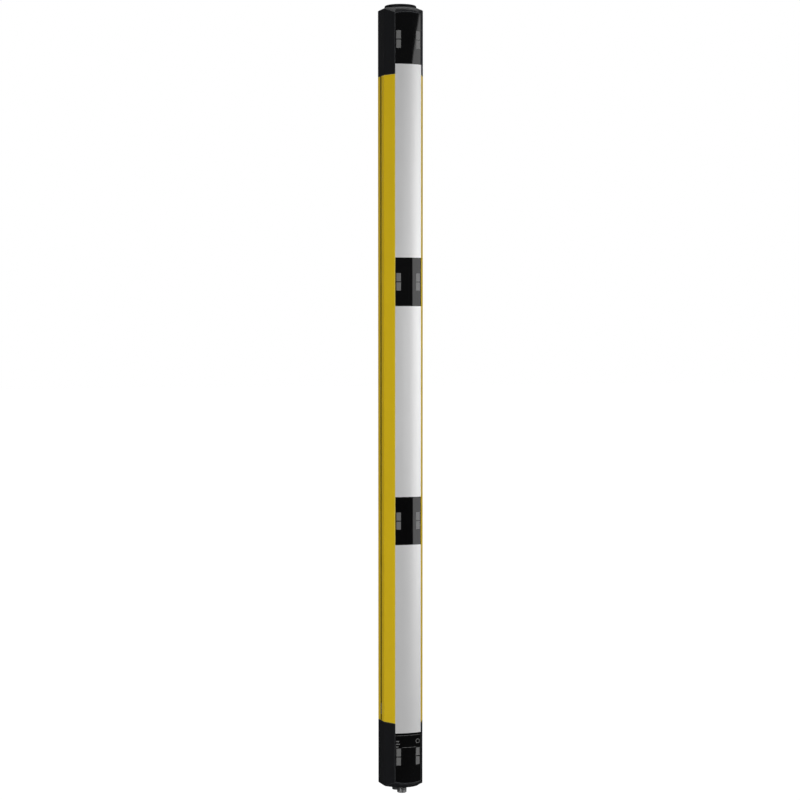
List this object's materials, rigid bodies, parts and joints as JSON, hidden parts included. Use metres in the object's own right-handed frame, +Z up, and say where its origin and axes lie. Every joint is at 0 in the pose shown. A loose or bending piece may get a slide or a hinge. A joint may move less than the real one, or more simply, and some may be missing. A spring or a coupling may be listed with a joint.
{
  "type": "multi-beam safety light barrier",
  "caption": "Slim upright post of a safety light barrier, with a grooved housing, a curved front window over its beams, moulded end caps and a round connector.",
  "frame": {"origin": "on the post's long middle axis, in the plane where the round spigot of the top end cap starts", "axes": "+Z up along the post and out of the top spigot, -Y out of the front window, +X to the right of someone who faces the front"},
  "size_m": [0.052, 0.0646, 0.9965],
  "materials": {
    "housing_yellow": "satin yellow powder coat on aluminium",
    "cap_black": "fine grained black moulding",
    "gasket_rubber": "dark grey rubber",
    "steel_screw": "zinc plated steel",
    "window_black": "glossy black plastic that lets infrared through",
    "strip_white": "satin white cover film",
    "rail_aluminium": "mill finish",
    "holder_black": "matt black moulding",
    "lens_clear": "clear moulded lens",
    "board_green": "green circuit board",
    "chip_black": "black moulded component",
    "diode_dark": "dark smoked epoxy",
    "ribbon_grey": "grey ribbon cable",
    "support_white": "white nylon",
    "terminal_green": "green terminal block",
    "capacitor_sleeve": "dark blue sleeve",
    "lamp_clear": "pale lamp",
    "light_pipe_clear": "clear acrylic",
    "connector_metal": "nickel plated brass",
    "insert_black": "black insulator",
    "pin_gold": "gold plated",
    "plug_black": "black closing plug",
    "lead_grey": "flexible flat lead",
    "nut_steel": "plated steel"
  },
  "bodies": {
    "root": {"blanking_plug": "plug_black", "board_capacitor": "capacitor_sleeve", "board_headers": "chip_black", "board_plug": "chip_black", "board_supports": "support_white", "bottom_cap_gasket": "gasket_rubber", "bottom_end_cap": "cap_black", "cap_screws": "steel_screw", "connector_insert": "insert_black", "connector_lead": "lead_grey", "connector_nut": "connector_metal", "connector_pins": "pin_gold", "connector_shell": "connector_metal", "control_board": "board_green", "cover_strip_1": "strip_white", "cover_strip_2": "strip_white", "cover_strip_3": "strip_white", "display_board": "board_green", "front_window": "window_black", "housing_profile": "housing_yellow", "lens_1": "lens_clear", "lens_2": "lens_clear", "lens_3": "lens_clear", "lens_4": "lens_clear", "lens_holder_1": "holder_black", "lens_holder_2": "holder_black", "lens_holder_3": "holder_black", "lens_holder_4": "holder_black", "light_diode_1": "diode_dark", "light_diode_2": "diode_dark", "light_diode_3": "diode_dark", "light_diode_4": "diode_dark", "light_pipe": "light_pipe_clear", "module_board_1": "board_green", "module_board_2": "board_green", "module_board_3": "board_green", "module_board_4": "board_green", "module_rail": "rail_aluminium", "output_switches": "chip_black", "ribbon_cable": "ribbon_grey", "ribbon_plugs": "chip_black", "safety_processors": "chip_black", "slot_nut": "nut_steel", "slot_nut_screw": "steel_screw", "status_lamp": "lamp_clear", "terminal_block": "terminal_green", "top_cap_gasket": "gasket_rubber", "top_end_cap": "cap_black", "window_seal_left": "gasket_rubber", "window_seal_right": "gasket_rubber"}
  },
  "joints": []
}
